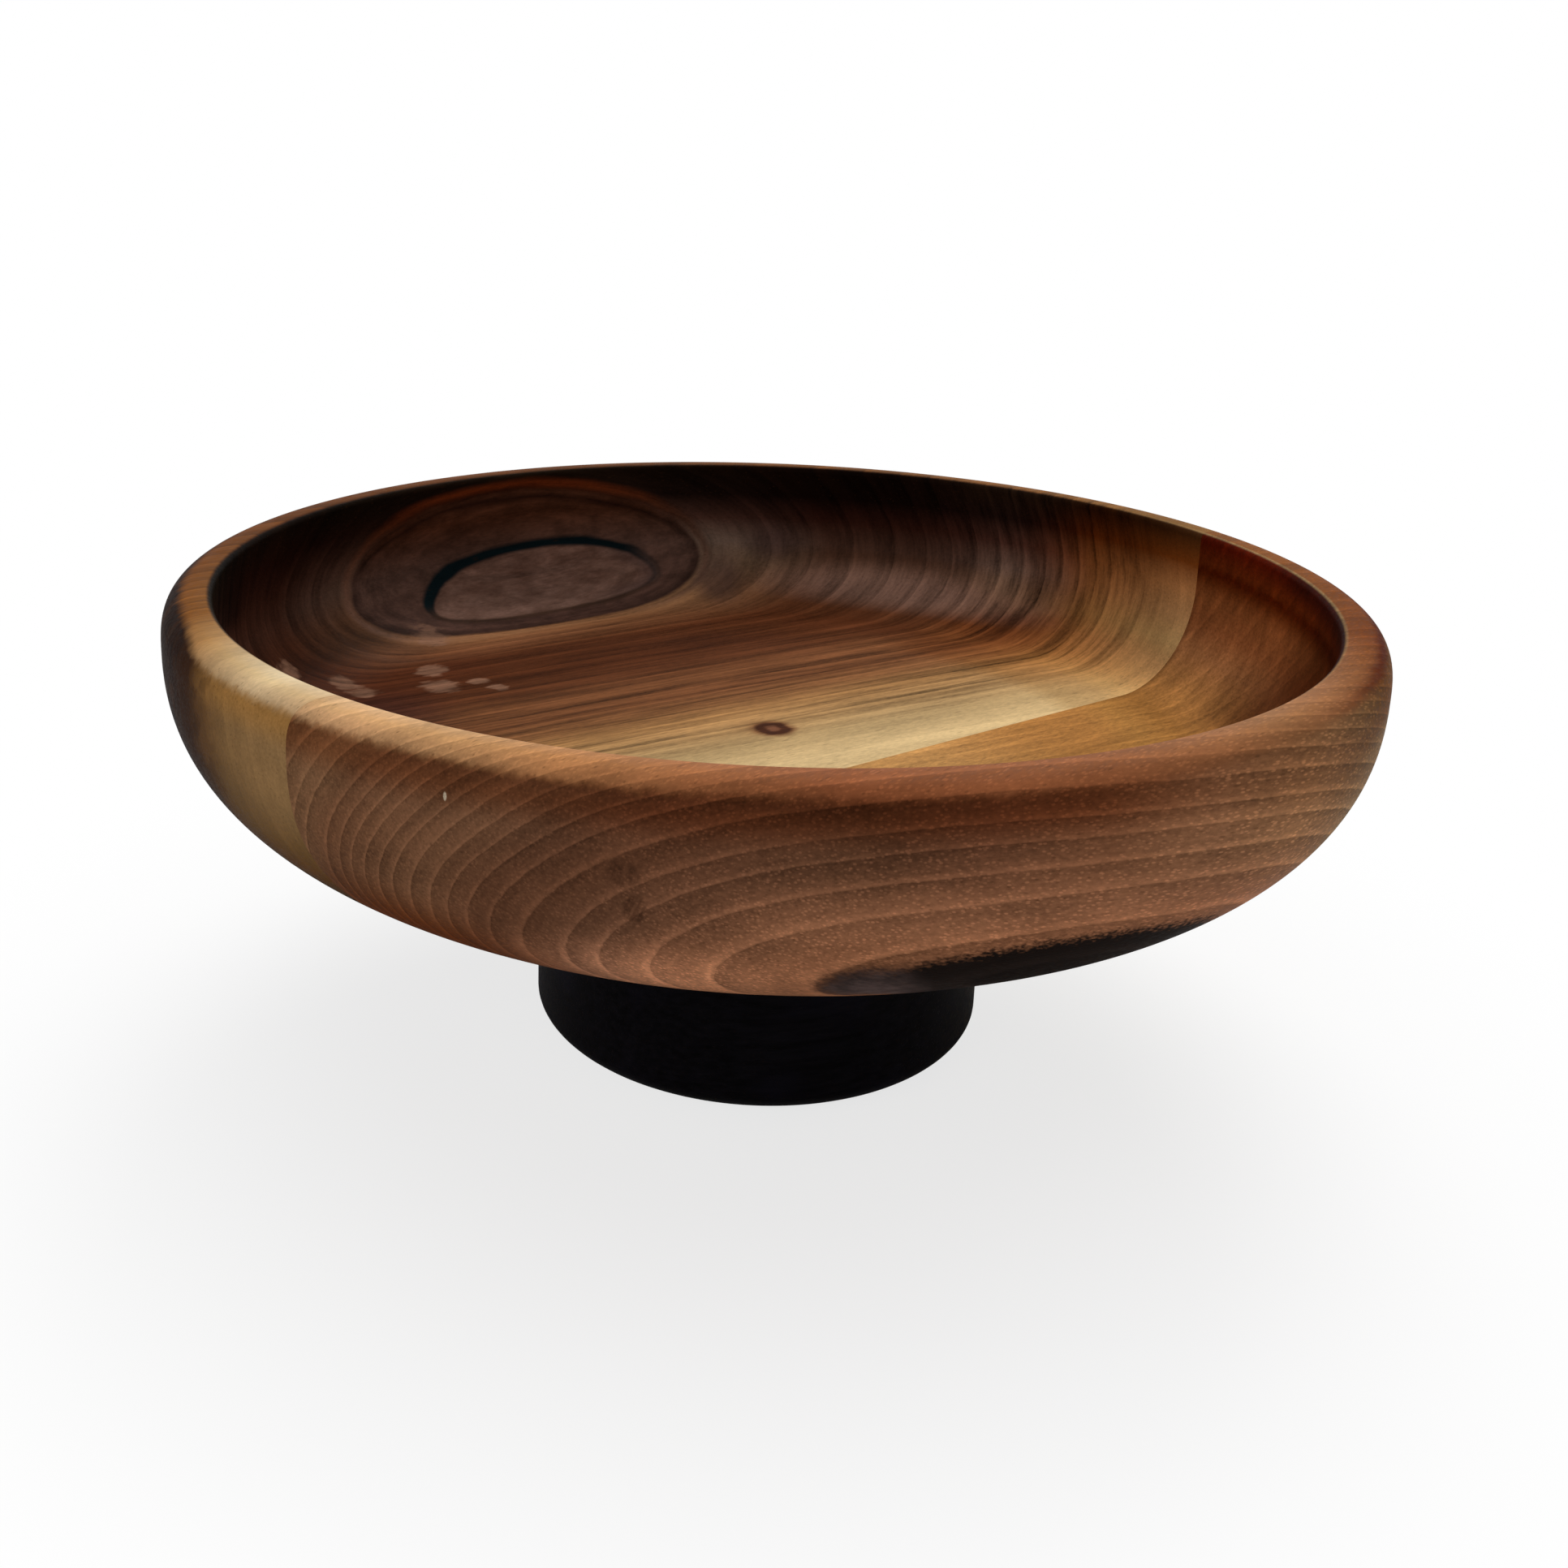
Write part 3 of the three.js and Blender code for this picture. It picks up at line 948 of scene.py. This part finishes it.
def add_eye(shader, log, colour, around, up):
    """The eye of a branch on the back wall: a dark oval line in a wider, paler one."""
    wobble = shader.swing(shader.noise(log.fibre_point(8.0, 30.0), detail=2.0), 0.2) * 0.6
    inner_line = from_oval(shader, around, up, *EYE_INNER) + wobble
    outer_line = from_oval(shader, around, up, *EYE_OUTER) + wobble
    cloud = shader.noise(log.fibre_point(4.0, 9.0), detail=3.0, roughness=0.6)
    centre = shader.colours(cloud, ((0.35, EYE_DARK), (0.65, EYE_PALE)))
    ring = shader.colours(up, ((120, EYE_RING_LOW), (144, EYE_RING), (156, EYE_RING_HIGH)))
    ring = shader.scaled(ring, shader.ramp(cloud, 0.35, 0.65, 0.8, 1.2))
    eye = shader.mix(shader.ramp(inner_line, 1.2, -1.2), ring, centre)
    shadow = shader.ramp(around, 119.0, 109.0) * shader.ramp(inner_line, -9.0, -1.0)
    eye = shader.mix(shadow * shader.ramp(inner_line, 0.5, -0.5) * 0.6, eye, EYE_SHADOW)

    high = shader.ramp(up, 126.0, 133.0)
    half_width = high * 0.7 + shader.ramp(around, 126.0, 139.0) * high * 0.6 + 0.9
    line = line_share(shader, inner_line, half_width, 0.9)
    line = line * shader.ramp(around, 105.0, 112.0, 0.35, 1.0) * shader.ramp(high, 0.0, 1.0, 0.8, 1.0)
    eye = shader.mix(line, eye, shader.mix(high, EYE_LINE_LOW, EYE_LINE_HIGH))
    # The dark ring is darker near the rim, as painted shade
    top = shader.ramp(up, 142.0, 156.0)
    dark_ring = line_share(shader, outer_line + top * 1.2 + 1.0, 0.8, 2.0) * (top * 0.3 + 0.65)
    eye = shader.mix(dark_ring, eye, shader.mix(top, EYE_DARK_RING, EYE_DARK_RING_HIGH))
    colour = shader.mix(shader.ramp(outer_line, 1.0, -1.0), colour, eye)

    edge_share = line_share(shader, outer_line - 2.0, 1.2, 1.6) * 0.8
    colour = shader.mix(edge_share, colour, shader.colours(up, EYE_EDGE))
    third = line_share(shader, outer_line - 13.5, 0.8, 2.0) * shader.ramp(around, 146.0, 156.0)
    return shader.mix(third * shader.ramp(up, 152.0, 138.0) * 0.25, colour, EYE_THIRD_RING)


def add_blots(shader, log, colour):
    """The pale blots, with uneven edges."""
    nearest = None
    for x, y, wide, deep in PALE_BLOTS:
        blot = shader.far_from(log.place, (x, y, FLOOR), (wide, deep, 40.0))
        nearest = blot if nearest is None else shader.math("MINIMUM", nearest, blot)
    edge = shader.noise(log.fibre_point(2.5, 4.5), detail=2.0)
    share = shader.ramp(nearest + (edge - 0.5) * 1.5, 1.2, 0.6, 0.0, 0.65)
    return shader.mix(share, colour, BLOT_COLOUR)


def add_pin_knot(shader, log, colour):
    """The pin knot in the floor: a paler middle in a dark ring, and a tail along the fibres."""
    offset = shader.vector_math("SUBTRACT", log.place, PIN_KNOT)
    distance = from_axis(shader, offset) + (shader.noise(log.fibre_point(2.0, 6.0), detail=2.0) - 0.5) * 2.5
    colour = shader.mark(log.place, colour, *PIN_KNOT_TAIL)
    for outer, inner, strength, tone in PIN_KNOT_RINGS:
        colour = shader.mix(shader.ramp(distance, outer, inner, 0.0, strength), colour, tone)
    return colour


def back_radius(shader, log):
    """Slants the back log, and gives the distance from its pith with the swelling of the rings at the eye."""
    far = shader.ramp(log.side, -60.0, -360.0, 0.0, 3.0, smooth=False)
    log.side = log.side + log.along * far * RING_SLANT
    swell_along = (log.along - SWELL_ALONG[0]) * (1 / SWELL_ALONG[1])
    swell_height = (log.height - SWELL_HEIGHT[0]) * (1 / SWELL_HEIGHT[1])
    swell = shader.math("EXPONENT", -(swell_along * swell_along + swell_height * swell_height))
    return log.radius() + swell * SWELL_PUSH


def back_inside(shader, log, wood, around, up):
    """The wood with its tints up the wall, other ones at the right and the left, and all its marks."""
    higher = shader.ramp(up, 122.0, 134.0, 0.0, 15.0)
    # Painted light and shade up the wall, in sectors from the right to the left
    right = shader.tint(up, RIGHT_WALL_LIGHT_AND_SHADE)
    wall = shader.mix(shader.ramp(around + higher, 72.0, 58.0), shader.tint(up, MIDDLE_WALL_LIGHT_AND_SHADE), right)
    wall = shader.mix(shader.ramp(around, 138.0, 156.0), wall, shader.tint(up, LEFT_WALL_LIGHT_AND_SHADE))
    wall = shader.mix(shader.ramp(around, 197.0, 210.0), wall, right)
    colour = shader.times(wood, wall)
    # Painted light and shade on the cream wood at the right
    cream_wall = shader.ramp(up, 84.0, 96.0) * shader.ramp(around, 37.0, 31.0)
    colour = shader.mix(cream_wall, colour, shader.times(colour, shader.tint(up, CREAM_WALL_LIGHT_AND_SHADE)))
    unrolled = shader.point(around, up, 0.0)
    # A painted shadow, and the marks, one of them a painted sheen
    colour = shader.mix(shader.spot(unrolled, *WALL_SHADOW), colour, WALL_SHADOW_SHARES, "MULTIPLY")
    for place, strength, tone in WALL_MARKS:
        colour = shader.mark(unrolled, colour, place, strength, tone)
    colour = shader.mark(log.place, colour, *FLOOR_LEFT)
    colour = add_eye(shader, log, colour, around, up)
    colour = add_blots(shader, log, colour)
    return add_pin_knot(shader, log, colour)


def back_outside(shader, log, wood, around):
    """The wood, and at its left end dark to cream wood in painted shade lower down, with a pale band below
    the rim and dark blotches.
    """
    left_colour = shader.times(shader.colours(around, OUTER_LEFT), shader.tint(log.height, LEFT_SHADE))
    pale_band = shader.ramp(log.height, 112.0, 119.5) * shader.ramp(around, 214.0, 223.0)
    left_colour = shader.mix(pale_band * 0.9, left_colour, LEFT_PALE_BAND)
    blotches = shader.ramp(shader.noise(log.fibre_point(5.0, 7.0), detail=3.0), 0.48, 0.6, 0.0, 0.6)
    left_colour = shader.mix(blotches * shader.ramp(around, 224.0, 214.0), left_colour, LEFT_BLOTCH)
    left = shader.ramp(log.along, -90.0, -125.0)
    return shader.mix(left, shader.times(wood, OUTSIDE_BACK), left_colour)


def back_walnut():
    shader = Shader("walnut_back")
    log = Log(shader, *BACK_LOG)
    radius = back_radius(shader, log)
    around = round_the_bowl(shader, log.place, 1)
    up = up_the_inside(shader, log)
    inside = inside_share(shader, log)

    wood = shader.colours(radius, BACK_COLOURS)
    outside_colour = back_outside(shader, log, wood, around)
    colour = shader.mix(inside, outside_colour, back_inside(shader, log, wood, around, up))
    thinner = shader.ramp(around, 218.0, 206.0, 0.0, 5.0)
    colour, _, crest = add_crest(shader, log, colour, around, BACK_CREST_LIGHT, thinner)
    # Painted shade high on the back wall at the far left
    far_left_shade = shader.ramp(around, 174.0, 186.0) * shader.ramp(up, 148.0, 155.0) * inside
    colour = shader.mix(far_left_shade, colour, WALL_FAR_LEFT_SHADE, "MULTIPLY")

    rings = ring_light(shader, log, radius, BACK_RINGS, pale=0.20, late=0.18, band=0.06)
    rings = rings * shader.ramp(radius, 165.0, 190.0, 1.0, 0.25) * shader.ramp(radius, 66.0, 74.0)
    streaks = shader.ramp(radius, 100.0, 145.0, 0.26, 0.40) * shader.ramp(radius, 172.0, 192.0, 1.0, 0.14)
    streaks = streaks * (crest * -0.5 + 1.0)
    mottles = crest * -0.03 + 0.10
    return finish_walnut(
        shader, log, radius, colour, rings, pore_share=0.08, streak_share=streaks, mottle_share=mottles
    )


# Black-stained wood

STAIN_LOG = (12.0, 4.0, 90.0, -40.0, 12.0)
STAIN_BLACK = (0.0016, 0.0013, 0.0016)
STAIN_STREAK = (0.006, 0.005, 0.007)
STAIN_BLOOM = (0.008, 0.007, 0.013)
STAIN_GLOSS = 0.04
STAIN_PORE_DEPTH = 0.00008
STAIN_PORE_STRENGTH = 0.5


def black_stain():
    shader = Shader("black_stain")
    log = Log(shader, *STAIN_LOG)
    streak = shader.noise(log.fibre_point(1.6, 30.0), detail=4.0, roughness=0.6)
    bloom = shader.noise(log.fibre_point(14.0, 22.0), detail=2.0)
    colour = shader.colours(streak, ((0.3, STAIN_BLACK), (0.7, STAIN_STREAK)))
    colour = shader.mix(shader.ramp(bloom, 0.5, 0.75, 0.0, 0.5), colour, STAIN_BLOOM)
    pores = shader.ramp(shader.cells(log.fibre_point(0.7, 6.0)), 0.3, 0.1, 0.0, 1.0)
    normal = shader.bump(streak * 0.4 - pores, STAIN_PORE_DEPTH, STAIN_PORE_STRENGTH)
    roughness = shader.ramp(streak, 0.3, 0.7, 0.38, 0.5)
    return shader.surface(colour, roughness, normal, STAIN_GLOSS)


# Stage

FLOOR_SIZE = 12.0
SHADOW_SHARE = 0.25  # how much of the floor's look near the bowl is its real shading
FADE_FROM = 0.08  # the floor turns plain white between these distances from the axis
FADE_TO = 0.26
FLOOR_WHITE = (0.8, 0.8, 0.8)
WHITE = (1.0, 1.0, 1.0)
WORLD_COLOUR = (0.97, 0.98, 1.0)
WORLD_STRENGTH = 0.25
LIT_POINT = Vector((0.0, 0.0, 0.1))

# Lamps: name, place, size, watts
LAMPS = (
    ("lamp_over_the_back", (0.25, 1.1, 1.5), 1.2, 26.0),
    ("lamp_front_left", (-0.9, -1.2, 0.9), 1.0, 5.0),
)


def make_floor():
    """A wide white floor that shows the object's shadow and turns plain white further away."""
    shader = Shader("floor_white")
    tree = shader.tree
    place = shader.node("ShaderNodeTexCoord")
    distance = shader.vector_math("LENGTH", Field(shader, place.outputs["Object"]), output="Value")
    path = shader.node("ShaderNodeLightPath")
    plain = shader.ramp(distance, FADE_FROM, FADE_TO, 1.0 - SHADOW_SHARE, 1.0)
    seen = Field(shader, path.outputs["Is Camera Ray"])
    matte = shader.node("ShaderNodeBsdfDiffuse")
    shader.feed(matte.inputs["Color"], shader.mix(seen, FLOOR_WHITE, WHITE))
    white = shader.node("ShaderNodeEmission")
    white.inputs["Strength"].default_value = 1.0
    mix = shader.node("ShaderNodeMixShader")
    out = shader.node("ShaderNodeOutputMaterial")
    shader.feed(mix.inputs["Fac"], plain * seen)
    tree.links.new(matte.outputs[0], mix.inputs[1])
    tree.links.new(white.outputs[0], mix.inputs[2])
    tree.links.new(mix.outputs[0], out.inputs["Surface"])
    half = FLOOR_SIZE / 2
    data = bpy.data.meshes.new("floor")
    corners = [(-half, -half, 0.0), (half, -half, 0.0), (half, half, 0.0), (-half, half, 0.0)]
    data.from_pydata(corners, [], [(0, 1, 2, 3)])
    data.materials.append(shader.material)
    floor = bpy.data.objects.new("floor", data)
    bpy.context.scene.collection.objects.link(floor)


def make_world():
    """Soft light from all round. The camera and reflections see it as plain white."""
    world = bpy.data.worlds.new("studio")
    world.use_nodes = True
    tree = world.node_tree
    tree.nodes.clear()
    soft = tree.nodes.new("ShaderNodeBackground")
    soft.inputs["Color"].default_value = (*WORLD_COLOUR, 1.0)
    soft.inputs["Strength"].default_value = WORLD_STRENGTH
    white = tree.nodes.new("ShaderNodeBackground")
    white.inputs["Color"].default_value = (*WHITE, 1.0)
    white.inputs["Strength"].default_value = 1.0
    path = tree.nodes.new("ShaderNodeLightPath")
    seen = path.outputs["Is Camera Ray"]
    for ray in ("Is Glossy Ray", "Is Transmission Ray"):
        either = tree.nodes.new("ShaderNodeMath")
        either.operation = "MAXIMUM"
        tree.links.new(seen, either.inputs[0])
        tree.links.new(path.outputs[ray], either.inputs[1])
        seen = either.outputs[0]
    mix = tree.nodes.new("ShaderNodeMixShader")
    out = tree.nodes.new("ShaderNodeOutputWorld")
    tree.links.new(seen, mix.inputs["Fac"])
    tree.links.new(soft.outputs[0], mix.inputs[1])
    tree.links.new(white.outputs[0], mix.inputs[2])
    tree.links.new(mix.outputs[0], out.inputs["Surface"])
    bpy.context.scene.world = world


def make_lamp(name, place, size, watts):
    lamp = bpy.data.lights.new(name, "AREA")
    lamp.shape = "DISK"
    lamp.size = size
    lamp.energy = watts
    thing = bpy.data.objects.new(name, lamp)
    aim = LIT_POINT - Vector(place)
    thing.matrix_world = Matrix.Translation(place) @ aim.to_track_quat("-Z", "Y").to_matrix().to_4x4()
    bpy.context.scene.collection.objects.link(thing)


def make_bowl():
    boards = (
        ("walnut_back_board", 1, back_walnut, "bowl_back_board"),
        ("walnut_front_board", -1, front_walnut, "bowl_front_board"),
    )
    for name, side, material, node in boards:
        mesh = turned_mesh(bowl_outline())
        keep_one_side(mesh, side)
        make_piece(name, mesh, material(), node)
    make_piece("black_foot", turned_mesh(foot_outline()), black_stain(), "foot")


def main():
    bpy.context.scene.view_settings.view_transform = "Standard"
    make_camera()
    make_floor()
    make_world()
    for lamp in LAMPS:
        make_lamp(*lamp)
    make_bowl()


main()
